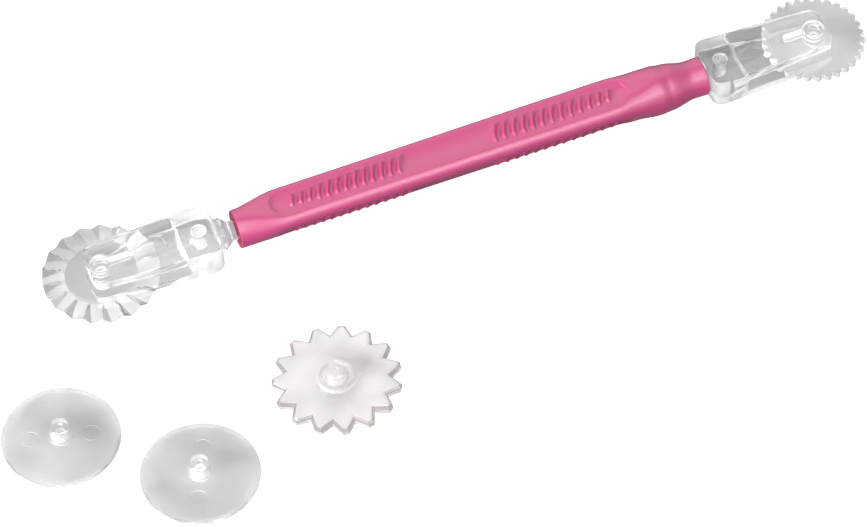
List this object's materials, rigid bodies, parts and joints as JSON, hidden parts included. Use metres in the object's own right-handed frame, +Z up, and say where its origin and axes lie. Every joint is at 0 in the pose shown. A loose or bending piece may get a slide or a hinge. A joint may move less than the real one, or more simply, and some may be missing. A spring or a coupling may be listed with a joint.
{
  "type": "pastry cutter wheel",
  "caption": "Double-ended pastry wheel: ribbed grip, a clear fork at each end with a crimping wheel and a stitching wheel, and loose spare cutting wheels.",
  "frame": {"origin": "under the middle of the whole set's bounding box, on the table", "axes": "+X along the tool from the crimping wheel to the stitching wheel, +Y from the loose wheels to the tool, +Z up along the axles"},
  "size_m": [0.2494, 0.0926, 0.0134],
  "materials": {
    "soft_pink": "soft-touch pink, fine satin grain",
    "white_core": "natural white, as moulded",
    "clear_plastic": "clear moulded plastic, polished",
    "frosted_plastic": "clear plastic with a slightly frosted skin",
    "warm_plastic": "clear plastic with a faint warm tint, slightly frosted"
  },
  "bodies": {
    "handle": {"grip": "soft_pink", "grip_core": "white_core", "fork_left": "clear_plastic", "fork_right": "clear_plastic", "shank_left": "clear_plastic", "shank_right": "clear_plastic", "cross_pin_left": "clear_plastic", "cross_pin_right": "clear_plastic"},
    "crimp_wheel": {"crimp_wheel": "clear_plastic"},
    "stitch_wheel": {"stitch_wheel": "frosted_plastic"},
    "spare_plain_wheel_1": {"spare_plain_wheel_1": "frosted_plastic"},
    "spare_plain_wheel_2": {"spare_plain_wheel_2": "frosted_plastic"},
    "spare_spur_wheel": {"spare_spur_wheel": "warm_plastic"}
  },
  "joints": [
    {"name": "crimp_wheel_spin", "type": "hinge", "parent": "handle", "child": "crimp_wheel", "pos_m": [-0.08505, 0.03125, 0.0071], "axis": [0, 0, 1], "continuous": true},
    {"name": "stitch_wheel_spin", "type": "hinge", "parent": "handle", "child": "stitch_wheel", "pos_m": [0.11095, 0.03125, 0.0071], "axis": [0, 0, 1], "continuous": true},
    {"name": "spare_plain_wheel_1_lift", "type": "slide", "parent": "handle", "child": "spare_plain_wheel_1", "axis": [0, 0, 1], "range_m": [0, 0.06]},
    {"name": "spare_plain_wheel_2_lift", "type": "slide", "parent": "handle", "child": "spare_plain_wheel_2", "axis": [0, 0, 1], "range_m": [0, 0.06]},
    {"name": "spare_spur_wheel_lift", "type": "slide", "parent": "handle", "child": "spare_spur_wheel", "axis": [0, 0, 1], "range_m": [0, 0.06]}
  ]
}
